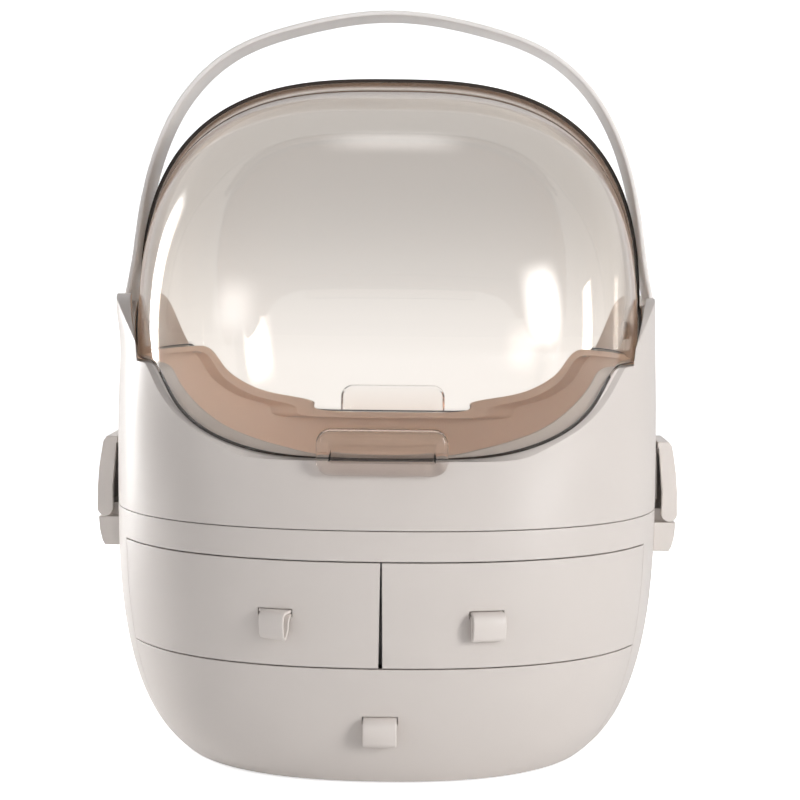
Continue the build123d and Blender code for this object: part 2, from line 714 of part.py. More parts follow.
def collect():
    """Every node of the box, by name."""
    nodes = {
        "cabinet_shell": make_cabinet(),
        "middle_shelf": make_shelf(),
        "drawer_divider": make_divider(),
        "base_plate": make_base_plate(),
        "base_screws": make_screws(),
        "rubber_feet": make_feet(),
        "upper_case": make_case(),
        "front_lid": make_lid(front_lid_half_width, front_lid_radius, -1, lid_lap_back),
        "rear_lid": make_lid(rear_lid_half_width, rear_lid_radius, 1, lid_lap_front),
        "front_lid_tab": make_tab(front_lid_half_width, front_lid_radius, -1),
        "rear_lid_tab": make_tab(rear_lid_half_width, rear_lid_radius, 1),
        "carry_handle": make_handle(),
    }
    drawers = {"upper_left": upper_drawer(-1), "upper_right": upper_drawer(1),
               "lower": lower_drawer()}
    for name, pieces in drawers.items():
        for kind, piece in zip(("front", "tray", "pull", "pull_clip"), pieces):
            nodes[f"{name}_drawer_{kind}"] = piece
    washer_x = front_lid_half_width + (pole_gap + washer_thickness) / 2
    clip_x = front_lid_half_width - lid_thickness - clip_play
    right_side = {
        "pivot_pin": make_pivot_pin(),
        "pivot_washer": make_pivot_ring(washer_radius, washer_x, washer_thickness),
        "pivot_clip": make_pivot_ring(clip_radius, clip_x, clip_thickness),
        "latch_bracket": make_latch_bracket(),
        "latch_lever": make_latch_lever(),
        "latch_pin": latch_bore(latch_pin_radius,
                                latch_half_width - latch_pin_cover - latch_pin_end_play),
        "latch_catch": make_latch_catch(),
    }
    carriers = {"latch_bracket": "cabinet_shell", "latch_catch": "upper_case"}
    for kind, piece in right_side.items():
        for side, placed in (("right", piece), ("left", mirrored(piece))):
            if kind in carriers:
                placed = placed - body - nodes[carriers[kind]]
            nodes[f"{side}_{kind}"] = placed
    return nodes


for name, piece in collect().items():
    export_step(piece, f"parts/{name}.step")
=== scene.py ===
from math import cos, pi, radians, sin

import bmesh
import bpy
import numpy as np
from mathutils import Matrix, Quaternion, Vector


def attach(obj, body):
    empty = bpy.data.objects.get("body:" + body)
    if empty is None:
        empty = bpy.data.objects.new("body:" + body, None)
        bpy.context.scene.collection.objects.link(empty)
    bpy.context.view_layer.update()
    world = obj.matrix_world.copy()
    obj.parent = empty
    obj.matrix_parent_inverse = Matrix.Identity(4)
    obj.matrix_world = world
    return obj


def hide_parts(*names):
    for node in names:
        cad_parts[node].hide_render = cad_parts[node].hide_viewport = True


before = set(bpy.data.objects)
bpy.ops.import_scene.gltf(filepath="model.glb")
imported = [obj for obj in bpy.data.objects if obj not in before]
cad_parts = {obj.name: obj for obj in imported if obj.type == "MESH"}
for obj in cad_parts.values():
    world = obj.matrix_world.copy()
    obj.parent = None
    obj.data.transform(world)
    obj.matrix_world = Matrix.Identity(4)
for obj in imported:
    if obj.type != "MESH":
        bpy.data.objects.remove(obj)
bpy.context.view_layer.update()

bl_info = {
    "name": "Domed Makeup Organizer",
    "version": (1, 0, 0),
    "blender": (4, 5, 0),
    "location": "View3D > Sidebar > Organizer",
    "description": "Dresses the makeup organizer's parts and lights them in a plain studio",
    "category": "Object",
}

MM = 0.001

# Shared shape values, in millimetres, as the solid parts have them.
PIVOT_HEIGHT = 200.0

LID_POWER = 2.8             # superellipse power of the lids' turned profile
PIN_HOLE = 3.05             # radius of a lid's hole at each pin
LID_BOSS = 12.8             # radius of its round boss there
BOSS_SPLIT = 0.3            # degrees left open between its dome and its boss
LID_ROLL = 0.7              # rounding of its edges
LID_GRID, BOSS_GRID = (241, 73), (9, 33)
FRONT_LAP, REAR_LAP = 4.0, 4.3      # degrees that the lids reach past the crown

RIM_CORNER = (72.0, 186.6)  # where the lids' seat meets the ears: from the middle, and height
FRONT_RIM = ((104.0, 145.8), ((0.22, 0.12), (0.42, 0.32), (0.61, 0.60), (0.74, 0.85)))
REAR_RIM = ((109.2, 148.6), ((0.195, 0.166), (0.341, 0.297), (0.516, 0.458), (0.668, 0.642),
                             (0.776, 0.839)))
SEAT_GAP = 0.4              # lid edge to seat
SEAT_END = 130.0            # the flat rim is followed this far out
SEAT_START = 13.0           # and the ear's level this far in
SEAT_LEVEL = 73.0           # inside this radius a lid's lower edge is level
STEEPEST = -86.0            # degrees below the horizontal that a lid's edge reaches

HANDLE_HALF_WIDTH = 130.0
HANDLE_RISE = 154.6         # pivots to the handle's top
HANDLE_START = 3.0          # its arch starts this far above the pivots
HANDLE_CURVE = ((0.9715, 0.184), (0.9446, 0.343), (0.89, 0.543), (0.792, 0.718),
                (0.615, 0.867), (0.346, 0.957))     # shares of the half width and the rise
HANDLE_ROLL = 0.8           # rounding of its edges
HANDLE_TIP = 0.6            # least width at its two ends
HANDLE_SINK = 0.2           # its outer face at the pivots, below the pin heads
SINK_TOP, SINK_RUN = 14.0, 4.0      # where that starts above the pivots, and how soon

TAB_DROP = 6.1              # a tab's bottom below the rim
TAB_REACH = 5.0             # how far it stands out of the wall
TAB_CORNER = 6.5            # rounding of its outline
TAB_EDGE = 3.0              # rounding of its front edges
TAB_CLOSE = 8.5             # its two faces are closed with rings up to this far in
TAB_BACK = 0.6              # its back's outermost ring, this far in
TAB_PLAY = 0.05             # its back to the lid
TAB_CROWN = 0.03            # rise of its front face for each millimetre in
FRONT_TAB_SEAT, REAR_TAB_SEAT = (145.8, 107.6), (148.6, 112.0)      # rim height, wall

BODY_HALF_WIDTH, BODY_HALF_DEPTH = 131.5, 112.0     # at the widest height
WIDEST_HEIGHT = 120.0
TAPER_DEPTH = 130.0         # below it, where the sides would close
TAPER_START, TAPER_END = 2.4, 5.9   # powers: how late and how bluntly they do
DEPTH_FOLLOW = 0.48         # how far the depth draws in with the width
PLAN_POWER = 2.3            # superellipse power of the plan

STRAPS = (("upper_left", -46.7, 78.5, 0.55), ("upper_right", 46.7, 78.5, 0.0),
          ("lower", 0.0, 31.0, 0.06))       # drawer, place across, height, twist
STRAP_PATH = ((2.0, 0.66), (-1.6, 0.75), (-4.3, -0.3), (-5.4, -3.4), (-4.9, -7.4),
              (-3.6, -10.3), (-2.7, -10.6), (-2.0, -9.2), (-1.3, -5.4), (-0.7, -2.0),
              (2.0, -0.72))                 # out of the front, and up
STRAP_ROLL = 0.45                           # rounding, as a share of the thickness
TWIST_START, TWIST_RUN = 0.3, 3.2           # where a strap starts to turn, and how soon
TWIST_SHEAR = 0.55                          # how far its sides move in and out with the turn

# The upper case's painted light: a tan on inward faces above CASE_FLOOR, and on level ones up
# to FLOOR_TOP, both in metres, that stands in for the shade and the brown-tinted light inside;
# how far a face has to look inward or up to count.
CASE_FLOOR, FLOOR_TOP = 0.117, 0.123
LOOKS_INWARD, LOOKS_UP = 0.25, 0.8

# Materials. Densities are per metre.
PLASTIC_IOR, CLEAR_IOR = 1.46, 1.49
LID_DENSITY, TAB_DENSITY = 45.0, 60.0
RIM_TURN = (0.74, 0.86)     # how far a clear face turns away before the rim tint is full
RIM_CLEARNESS = 0.25        # share of the light that still passes there

# Stage, in metres and degrees.
SWEEP_HALF_WIDTH = 6.0
SWEEP_FRONT, SWEEP_BEND, BEND_RADIUS, SWEEP_TOP = -8.0, 1.1, 0.5, 6.0
# Painted light on the sweep for see-through parts: glow level against share of the height,
# falling off upward.
PAINTED_LIGHT_FALL = ((0.0, 1.1), (0.2, 1.06), (0.46, 0.67), (0.68, 0.53), (1.0, 0.5))
PAINTED_LIGHT_FALL_HEIGHT = 0.5
STAGE_GLOW, MIRRORED_GLOW = 0.7, 0.25       # the second as a share of the first
WORLD_LEVEL = 0.37
WORLD_EXTRA = (("Is Camera Ray", 0.7), ("Is Glossy Ray", 0.13), ("Is Transmission Ray", 0.35))
LAMP_FEATHER, LAMP_PEAK = 0.45, 1.6         # share of a lamp that fades, and its middle
LAMPS = (       # name, place, target, size, power
    ("key_lamp", (1.15, -0.95, 0.5), (0.03, 0, 0.16), (0.75, 1.1), 18.0),
    ("fill_lamp", (-1.3, -1.2, 0.5), (0, 0, 0.15), (1.0, 1.0), 4.0),
    ("top_lamp", (0.0, 0.17, 1.66), (0, 0, 0.2), (0.6, 0.5), 0.7),
    ("edge_lamp", (-0.95, 0.5, 0.32), (0, 0, 0.2), (0.3, 1.0), 13.0))
CAMERA_PLACE = (0.0208, -0.9158, 0.2372)
CAMERA_YAW, CAMERA_DOWN, CAMERA_ROLL = 0.96, 2.07, 0.53
IMAGE_SIZE = 800            # pixels
FOCAL_LENGTH, IMAGE_SHIFT = 1851, -80       # pixels


# ------------------------------------------------------------------ numpy shapes
def smooth_line(points, start_dir, end_dir, count):
    """Cubic curve through points with continuous curvature: chord length is its parameter,
    and its derivative at each end is the given unit direction."""
    p = np.asarray(points, float)
    t = np.concatenate([[0.0], np.cumsum(np.linalg.norm(np.diff(p, axis=0), axis=1))])
    h = np.diff(t)
    n = len(p)
    a = np.zeros((n, n))
    rhs = np.zeros_like(p)
    a[0, 0] = a[-1, -1] = 1.0
    rhs[0], rhs[-1] = start_dir, end_dir
    i = np.arange(1, n - 1)
    a[i, i - 1] = h[1:]
    a[i, i] = 2 * (h[:-1] + h[1:])
    a[i, i + 1] = h[:-1]
    slope = np.diff(p, axis=0) / h[:, None]
    rhs[1:-1] = 3 * (slope[1:] * h[:-1, None] + slope[:-1] * h[1:, None])
    d = np.linalg.solve(a, rhs)
    q = np.linspace(0, t[-1], count)
    k = np.clip(np.searchsorted(t, q, side="right") - 1, 0, n - 2)
    s = ((q - t[k]) / h[k])[:, None]
    hk = h[k][:, None]
    return ((1 + 2 * s) * (1 - s) ** 2 * p[k] + s * (1 - s) ** 2 * hk * d[k]
            + s ** 2 * (3 - 2 * s) * p[k + 1] + s ** 2 * (s - 1) * hk * d[k + 1])


def rim_line(side, gap=0.0):
    """Side view of the lids' seat from the flat rim to the ear corner: distance from the
    middle and height, one smooth curve with a level run at each end, both moved out and up by
    the gap. side is -1 at the front."""
    (flat, low), climb = FRONT_RIM if side < 0 else REAR_RIM
    inner = [(flat + (RIM_CORNER[0] - flat) * u, low + (RIM_CORNER[1] - low) * v)
             for u, v in climb]
    curve = smooth_line([(flat, low), *inner, RIM_CORNER], (-1, 0), (-1, 0), 90)
    return np.vstack([(SEAT_END, low), curve, (SEAT_START, RIM_CORNER[1])]) + gap


def profile_angles(half_width, radius, hole, count):
    """Angles at even steps of length along a superellipse profile, from one pin hole to the
    other: x is |cos|^(2/p) times the half width, the radius |sin|^(2/p) times the crown's."""
    tau = pi * (1 - np.linspace(0, 1, 6001))
    x = np.sign(np.cos(tau)) * np.abs(np.cos(tau)) ** (2 / LID_POWER) * half_width
    r = np.abs(np.sin(tau)) ** (2 / LID_POWER) * radius
    keep = r >= hole
    x, r, tau = x[keep], r[keep], tau[keep]
    length = np.concatenate([[0.0], np.cumsum(np.hypot(np.diff(x), np.diff(r)))])
    return np.interp(np.linspace(0, length[-1], count), length, tau), length[-1]


def lid_lower_angle(r, side):
    """Angle below the horizontal at which a circle of radius r about the pivot meets the lid's
    lower edge, which follows the seat on the case."""
    line = rim_line(side, SEAT_GAP)
    rr = np.hypot(line[:, 0], line[:, 1] - PIVOT_HEIGHT)
    ang = np.arctan2(line[:, 1] - PIVOT_HEIGHT, line[:, 0])
    order = np.argsort(rr)
    drop = RIM_CORNER[1] + SEAT_GAP - PIVOT_HEIGHT
    near = np.arcsin(np.clip(drop / np.maximum(r, -drop), -1, 1))
    far = np.interp(r, rr[order], ang[order])
    return np.maximum(np.where(r < SEAT_LEVEL, near, far), radians(STEEPEST))


def add_mesh(name, verts, faces, materials, face_slots=None):
    """Smooth mesh object from vertices in millimetres and quads; its normals face out."""
    mesh = bpy.data.meshes.new(name)
    mesh.from_pydata((np.asarray(verts) * MM).tolist(), [], faces.tolist())
    for material in materials:
        mesh.materials.append(material)
    if face_slots is not None:
        mesh.polygons.foreach_set("material_index", np.asarray(face_slots, np.int32))
    bm = bmesh.new()
    bm.from_mesh(mesh)
    bmesh.ops.recalc_face_normals(bm, faces=bm.faces)
    bm.to_mesh(mesh)
    bm.free()
    mesh.polygons.foreach_set("use_smooth", np.ones(len(mesh.polygons), bool))
    mesh.update()
    piece = bpy.data.objects.new(name, mesh)
    bpy.context.scene.collection.objects.link(piece)
    return piece


def grid_faces(nu, nv, start=0):
    """Quads of a grid of nu by nv vertices, numbered row by row."""
    i, j = np.meshgrid(np.arange(nu - 1), np.arange(nv - 1), indexing="ij")
    a = (start + i * nv + j).ravel()
    return np.stack([a, a + 1, a + nv + 1, a + nv], 1)


def border_walk(nu, nv):
    """Row and column of each border vertex of a grid, once round."""
    top = [(i, 0) for i in range(nu)]
    side = [(nu - 1, j) for j in range(1, nv)]
    bottom = [(i, nv - 1) for i in range(nu - 2, -1, -1)]
    back = [(0, j) for j in range(nv - 2, 0, -1)]
    return np.array(top + side + bottom + back)


def slab(surface, nu, nv, thick, rounding, arc_steps=4):
    """Closed plate between an outer face and one that lies a wall's thickness deeper. Its edge
    is rolled: inset by r(1 - sin a) and sunk by r(1 - cos a) as a turns a quarter, and the
    same again on the inner side. surface(u, v, inset, depth) gives points in millimetres."""
    u, v = np.meshgrid(np.linspace(0, 1, nu), np.linspace(0, 1, nv), indexing="ij")
    outer = surface(u, v, rounding, 0.0).reshape(-1, 3)
    inner = surface(u, v, rounding, thick).reshape(-1, 3)
    walk = border_walk(nu, nv)
    bu, bv = u[walk[:, 0], walk[:, 1]], v[walk[:, 0], walk[:, 1]]
    turn = np.linspace(0, pi / 2, arc_steps + 1)
    steps = [(rounding * (1 - np.sin(a)), rounding * (1 - np.cos(a))) for a in turn[1:]]
    steps += [(e, thick - d) for e, d in reversed(steps)]
    rings = [surface(bu, bv, e, d).reshape(-1, 3) for e, d in steps]
    count = len(walk)
    verts = np.vstack([outer, *rings, inner])
    first = walk[:, 0] * nv + walk[:, 1]
    loops = [first]
    loops += [nu * nv + k * count + np.arange(count) for k in range(len(rings))]
    loops.append(first + nu * nv + len(rings) * count)
    sides = [np.stack([a, np.roll(a, -1), np.roll(b, -1), b], 1)
             for a, b in zip(loops[:-1], loops[1:])]
    back = grid_faces(nu, nv, nu * nv + len(rings) * count)[:, ::-1]
    faces = np.vstack([grid_faces(nu, nv), *sides, back])
    slots = np.zeros(len(faces), int)
    slots[(nu - 1) * (nv - 1):len(faces) - len(back)] = 1
    return verts, faces, slots


def rounded_section(width, height, radius, steps=5):
    """Closed outline of a rounded rectangle: four quarter turns joined by straight runs.
    Columns of widths and radii give one outline for each row."""
    corner = np.linspace(0, pi / 2, steps)
    turn = np.concatenate([corner + k * pi / 2 for k in range(4)])
    right, top = np.repeat([1, -1, -1, 1], steps), np.repeat([1, 1, -1, -1], steps)
    x = np.cos(turn) * radius + (width / 2 - radius) * right
    y = np.sin(turn) * radius + (height / 2 - radius) * top
    return np.stack([x, y], -1)


def join(parts):
    """Several lots of vertices, faces and face slots as one."""
    verts, faces, slots, start = [], [], [], 0
    for v, f, s in parts:
        verts.append(v)
        faces.append(f + start)
        slots.append(s)
        start += len(v)
    return np.vstack(verts), np.vstack(faces), np.concatenate(slots)


# ------------------------------------------------------------------ materials
def new_material(name):
    """Material with an empty node tree, its output and its one shader."""
    material = bpy.data.materials.new(name)
    material.use_nodes = True
    tree = material.node_tree
    tree.nodes.clear()
    tree.nodes.new("ShaderNodeOutputMaterial").name = "Output"
    shader = tree.nodes.new("ShaderNodeBsdfPrincipled")
    tree.links.new(shader.outputs[0], tree.nodes["Output"].inputs["Surface"])
    return material, tree, shader


def map_range(tree, value, low, high):
    """Socket whose value runs from low to high as the given one runs from 0 to 1."""
    node = tree.nodes.new("ShaderNodeMapRange")
    node.inputs["To Min"].default_value = low
    node.inputs["To Max"].default_value = high
    tree.links.new(value, node.inputs["Value"])
    return node.outputs["Result"]


def multiply_add(tree, value, factor, more):
    """Socket with the value times the factor plus more, which is a number or a socket."""
    node = tree.nodes.new("ShaderNodeMath")
    node.operation = "MULTIPLY_ADD"
    tree.links.new(value, node.inputs[0])
    node.inputs[1].default_value = factor
    if isinstance(more, float):
        node.inputs[2].default_value = more
    else:
        tree.links.new(more, node.inputs[2])
    return node.outputs[0]


def object_noise(tree, scale, detail):
    """Socket with noise over the object's own coordinates."""
    place = tree.nodes.new("ShaderNodeTexCoord")
    noise = tree.nodes.new("ShaderNodeTexNoise")
    noise.inputs["Scale"].default_value = scale
    noise.inputs["Detail"].default_value = detail
    tree.links.new(place.outputs["Object"], noise.inputs["Vector"])
    return noise.outputs["Fac"]


def moulded_plastic(name, colour, rough=0.34, grain=0.06, edge=0.0006, spread=0.035):
    """Opaque moulded plastic: soft mottling of the colour, uneven gloss, a fine skin and
    edges that are slightly rounded."""
    material, tree, shader = new_material(name)
    tint = tree.nodes.new("ShaderNodeValToRGB")
    low, high = tint.color_ramp.elements
    low.position, high.position = 0.3, 0.7
    low.color = [c * (1 - spread) for c in colour] + [1]
    high.color = [min(1, c * (1 + spread * 0.4)) for c in colour] + [1]
    tree.links.new(object_noise(tree, 14.0, 3.0), tint.inputs["Fac"])
    tree.links.new(tint.outputs["Color"], shader.inputs["Base Color"])
    skin = object_noise(tree, 900.0, 2.0)
    gloss = map_range(tree, skin, rough - 0.05, rough + 0.05)
    tree.links.new(gloss, shader.inputs["Roughness"])
    bump = tree.nodes.new("ShaderNodeBump")
    bump.inputs["Strength"].default_value = grain
    bump.inputs["Distance"].default_value = 0.0002
    tree.links.new(skin, bump.inputs["Height"])
    if edge > 0:
        bevel = tree.nodes.new("ShaderNodeBevel")
        bevel.samples = 6
        bevel.inputs["Radius"].default_value = edge
        tree.links.new(bevel.outputs["Normal"], bump.inputs["Normal"])
    tree.links.new(bump.outputs["Normal"], shader.inputs["Normal"])
    shader.inputs["IOR"].default_value = PLASTIC_IOR
    return material


def clear_plastic(name, rim_tint, rough, density, depth_colour):
    """See-through moulded plastic: faint flow marks in its gloss, a stain that deepens with
    the thickness that is looked through, and a rim tint where it turns away from the eye."""
    material, tree, shader = new_material(name)
    lean = tree.nodes.new("ShaderNodeLayerWeight")
    lean.inputs["Blend"].default_value = 0.5
    rim = tree.nodes.new("ShaderNodeMapRange")
    rim.interpolation_type = "SMOOTHSTEP"
    rim.inputs["From Min"].default_value, rim.inputs["From Max"].default_value = RIM_TURN
    tree.links.new(lean.outputs["Facing"], rim.inputs["Value"])
    tint = tree.nodes.new("ShaderNodeMix")
    tint.data_type = "RGBA"
    tint.inputs["A"].default_value = (1, 1, 1, 1)
    tint.inputs["B"].default_value = [*rim_tint, 1]
    tree.links.new(rim.outputs["Result"], tint.inputs["Factor"])
    tree.links.new(tint.outputs["Result"], shader.inputs["Base Color"])
    gloss = map_range(tree, object_noise(tree, 9.0, 2.0), rough * 0.6, rough * 1.4)
    tree.links.new(gloss, shader.inputs["Roughness"])
    shader.inputs["IOR"].default_value = CLEAR_IOR
    veil = map_range(tree, rim.outputs["Result"], 1.0, RIM_CLEARNESS)
    tree.links.new(veil, shader.inputs["Transmission Weight"])
    stain = tree.nodes.new("ShaderNodeVolumeAbsorption")
    stain.inputs["Color"].default_value = [*depth_colour, 1]
    stain.inputs["Density"].default_value = density
    tree.links.new(stain.outputs[0], tree.nodes["Output"].inputs["Volume"])
    return material


def painted_dark_edge_plastic(name, colour):
    """The lids' cut edge, painted as a dark brown line: painted shade that stands in for the
    dark a clear edge shows, with a little random tone.
    """
    material, tree, shader = new_material(name)
    tint = tree.nodes.new("ShaderNodeValToRGB")
    tint.color_ramp.elements[0].color = [c * 0.7 for c in colour] + [1]
    tint.color_ramp.elements[1].color = [c * 1.3 for c in colour] + [1]
    tree.links.new(object_noise(tree, 60.0, 2.0), tint.inputs["Fac"])
    tree.links.new(tint.outputs["Color"], shader.inputs["Base Color"])
    shader.inputs["Roughness"].default_value = 0.15
    return material


def brushed_metal(name):
    """Plain steel with a fine drawn grain."""
    material, tree, shader = new_material(name)
    gloss = map_range(tree, object_noise(tree, 500.0, 2.0), 0.25, 0.45)
    tree.links.new(gloss, shader.inputs["Roughness"])
    shader.inputs["Base Color"].default_value = (0.62, 0.62, 0.64, 1)
    shader.inputs["Metallic"].default_value = 1.0
    return material


def dress(nodes, material):
    """Gives solid parts a finish."""
    for name in nodes:
        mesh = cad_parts[name].data
        mesh.materials.clear()
        mesh.materials.append(material)


# ------------------------------------------------------------------ settings
class OrganizerSizes(bpy.types.PropertyGroup):
    """Sizes of the pieces that are shaped here."""
    front_lid_radius: bpy.props.FloatProperty(
        name="Front Lid Radius", description="Crown radius of the inner lid about the pivot",
        default=0.1175, min=0.1, max=0.13, unit="LENGTH")
    rear_lid_radius: bpy.props.FloatProperty(
        name="Rear Lid Radius", description="Crown radius of the outer lid about the pivot",
        default=0.1224, min=0.1, max=0.13, unit="LENGTH")
    front_lid_half_width: bpy.props.FloatProperty(
        name="Front Lid Half Width", description="Pivot line to the inner lid's side",
        default=0.1206, min=0.1, max=0.13, unit="LENGTH")
    rear_lid_half_width: bpy.props.FloatProperty(
        name="Rear Lid Half Width", description="Pivot line to the outer lid's side",
        default=0.1238, min=0.1, max=0.13, unit="LENGTH")
    lid_thickness: bpy.props.FloatProperty(
        name="Lid Thickness", description="Wall of both lids",
        default=0.0018, min=0.001, max=0.004, unit="LENGTH")
    handle_width: bpy.props.FloatProperty(
        name="Handle Width", description="Width of the carry handle's band",
        default=0.032, min=0.02, max=0.05, unit="LENGTH")
    handle_thickness: bpy.props.FloatProperty(
        name="Handle Thickness", description="Thickness of the carry handle's band",
        default=0.0024, min=0.001, max=0.006, unit="LENGTH")
    tab_width: bpy.props.FloatProperty(
        name="Tab Width", description="Width of the lids' pull tabs",
        default=0.058, min=0.04, max=0.08, unit="LENGTH")
    tab_height: bpy.props.FloatProperty(
        name="Tab Height", description="Height of the lids' pull tabs",
        default=0.0206, min=0.018, max=0.03, unit="LENGTH")
    strap_width: bpy.props.FloatProperty(
        name="Strap Width", description="Width of the drawers' strap pulls",
        default=0.015, min=0.01, max=0.02, unit="LENGTH")
    strap_thickness: bpy.props.FloatProperty(
        name="Strap Thickness", description="Thickness of the drawers' strap pulls",
        default=0.00135, min=0.0008, max=0.002, unit="LENGTH")


class OrganizerColours(bpy.types.PropertyGroup):
    """Colours of the plastics."""
    shell: bpy.props.FloatVectorProperty(
        name="Shell", description="Case, cabinet and drawer fronts", subtype="COLOR", size=3,
        default=(0.66, 0.607, 0.567), min=0, max=1)
    handle: bpy.props.FloatVectorProperty(
        name="Handle", description="The carry handle", subtype="COLOR", size=3,
        default=(0.87, 0.835, 0.805), min=0, max=1)
    # Painted light: the case is one plastic; this tan stands in for the shade and the light
    # tinted by the lids inside it.
    case_inside_painted_light: bpy.props.FloatVectorProperty(
        name="Case Inside", description="Inner walls and floor of the upper case",
        subtype="COLOR", size=3, default=(0.82, 0.635, 0.505), min=0, max=1)
    latch: bpy.props.FloatVectorProperty(
        name="Latches", description="Side latches and their brackets", subtype="COLOR", size=3,
        default=(0.77, 0.715, 0.67), min=0, max=1)
    strap: bpy.props.FloatVectorProperty(
        name="Straps", description="Drawer pull straps", subtype="COLOR", size=3,
        default=(0.74, 0.68, 0.635), min=0, max=1)
    inner: bpy.props.FloatVectorProperty(
        name="Inner Parts", description="Trays, shelf and base", subtype="COLOR", size=3,
        default=(0.64, 0.61, 0.58), min=0, max=1)
    lid: bpy.props.FloatVectorProperty(
        name="Lids", description="Tint of the see-through lids", subtype="COLOR", size=3,
        default=(0.875, 0.51, 0.11), min=0, max=1)
    lid_rim: bpy.props.FloatVectorProperty(
        name="Lid Rims", description="Tint of clear parts seen edge-on", subtype="COLOR",
        size=3, default=(0.40, 0.265, 0.185), min=0, max=1)
    tab: bpy.props.FloatVectorProperty(
        name="Lid Tabs", description="Tint of the lids' pull tabs", subtype="COLOR", size=3,
        default=(0.71, 0.50, 0.355), min=0, max=1)
    # Painted shade: the lids' cut edges are coloured near black for the dark that a clear edge
    # shows.
    lid_edge_painted_dark: bpy.props.FloatVectorProperty(
        name="Lid Edges", description="Cut edges of the lids", subtype="COLOR", size=3,
        default=(0.035, 0.024, 0.018), min=0, max=1)
    backdrop: bpy.props.FloatVectorProperty(
        name="Backdrop", description="Floor and backdrop", subtype="COLOR", size=3,
        default=(0.9, 0.9, 0.9), min=0, max=1)


# ------------------------------------------------------------------ pieces
def lid_plate(half_width, radius, side, lap, thick):
    """One lid: a superellipse profile turned about the pivot axis from the case rim to past
    the crown, plus the rest of the round boss at each pin, which is part of the same surface.
    side is -1 for the front."""
    def place(x, r, phi):
        return np.stack([x, side * r * np.cos(phi), PIVOT_HEIGHT + r * np.sin(phi)], -1)

    def profile(tau, depth):
        across = np.sign(np.cos(tau)) * np.abs(np.cos(tau)) ** (2 / LID_POWER)
        return across * (half_width - depth), (
            np.abs(np.sin(tau)) ** (2 / LID_POWER) * (radius - depth))

    tau_line, length = profile_angles(half_width, radius, PIN_HOLE, 801)
    even = np.linspace(0, 1, len(tau_line))

    def dome(u, v, inset, depth):
        share = inset / length
        tau = np.interp(share + (1 - 2 * share) * u, even, tau_line)
        x, r = profile(tau, depth)
        low = lid_lower_angle(r, side) + inset / r
        high = radians(90 + lap) - inset / r
        return place(x, r, low + (high - low) * v)

    parts = [slab(dome, *LID_GRID, thick, LID_ROLL)]
    for end in (-1, 1):
        def boss(u, v, inset, depth):
            r = PIN_HOLE + inset + (LID_BOSS - PIN_HOLE - 2 * inset) * u
            x = end * (1 - (r / radius) ** LID_POWER) ** (1 / LID_POWER) * (half_width - depth)
            low = radians(90 + lap + BOSS_SPLIT) + inset / r
            high = radians(360 + STEEPEST - BOSS_SPLIT) - inset / r
            return place(x, r, low + (high - low) * v)
        parts.append(slab(boss, *BOSS_GRID, thick, LID_ROLL))
    return join(parts)


def handle_plate(width, thick):
    """The carry handle: a rounded band section carried along the handle's arch; its width
    closes round the pivots as the chord of a circle, where its outer face lies just below the
    pin heads."""
    half, start = HANDLE_HALF_WIDTH, PIVOT_HEIGHT + HANDLE_START
    side = [(half, start)]
    side += [(half * u, PIVOT_HEIGHT + HANDLE_RISE * v) for u, v in HANDLE_CURVE]
    top = (0, PIVOT_HEIGHT + HANDLE_RISE)
    points = [*side, top, *[(-x, z) for x, z in reversed(side)]]
    arch = smooth_line(points, (0, 1), (0, -1), 181)
    end = PIVOT_HEIGHT - width / 2
    foot = end + (start - end) * (1 - np.cos(np.linspace(0, pi / 2, 26)[:-1]))
    line = np.vstack([np.stack([np.full_like(foot, half), foot], 1), arch,
                      np.stack([np.full_like(foot, -half), foot[::-1]], 1)])
    along = np.gradient(line, axis=0)
    along /= np.linalg.norm(along, axis=1)[:, None]
    inward = np.stack([-along[:, 1], along[:, 0]], 1)
    x, z = line[:, :1], line[:, 1:]
    drop = np.clip(PIVOT_HEIGHT - z, 0, width / 2)
    chord = np.maximum(2 * np.sqrt(np.maximum((width / 2) ** 2 - drop ** 2, 0)), HANDLE_TIP)
    sink = HANDLE_SINK * np.clip((PIVOT_HEIGHT + SINK_TOP - z) / SINK_RUN, 0, 1)
    outline = rounded_section(chord, thick, np.minimum(HANDLE_ROLL, chord / 2 - 0.01))
    depth = sink + (1 - sink / thick) * (thick / 2 - outline[..., 1])
    return sweep(np.stack([x + inward[:, :1] * depth, outline[..., 0],
                           z + inward[:, 1:] * depth], -1))


def sweep(rings):
    """Closed tube through rings of equally many points; each ring's point k faces its point
    m - 1 - k, so that rows of quads between them close the two ends."""
    verts = np.asarray(rings)
    n, m = verts.shape[:2]
    i, j = np.meshgrid(np.arange(n - 1), np.arange(m), indexing="ij")
    a, b = (i * m + j).ravel(), (i * m + (j + 1) % m).ravel()
    faces = [np.stack([a, b, b + m, a + m], 1)]
    k = np.arange(m // 2 - 1)
    for row in (0, n - 1):
        start = row * m
        faces.append(np.stack([k, k + 1, m - 2 - k, m - 1 - k], 1) + start)
    faces = np.vstack(faces)
    return verts.reshape(-1, 3), faces, np.zeros(len(faces), int)


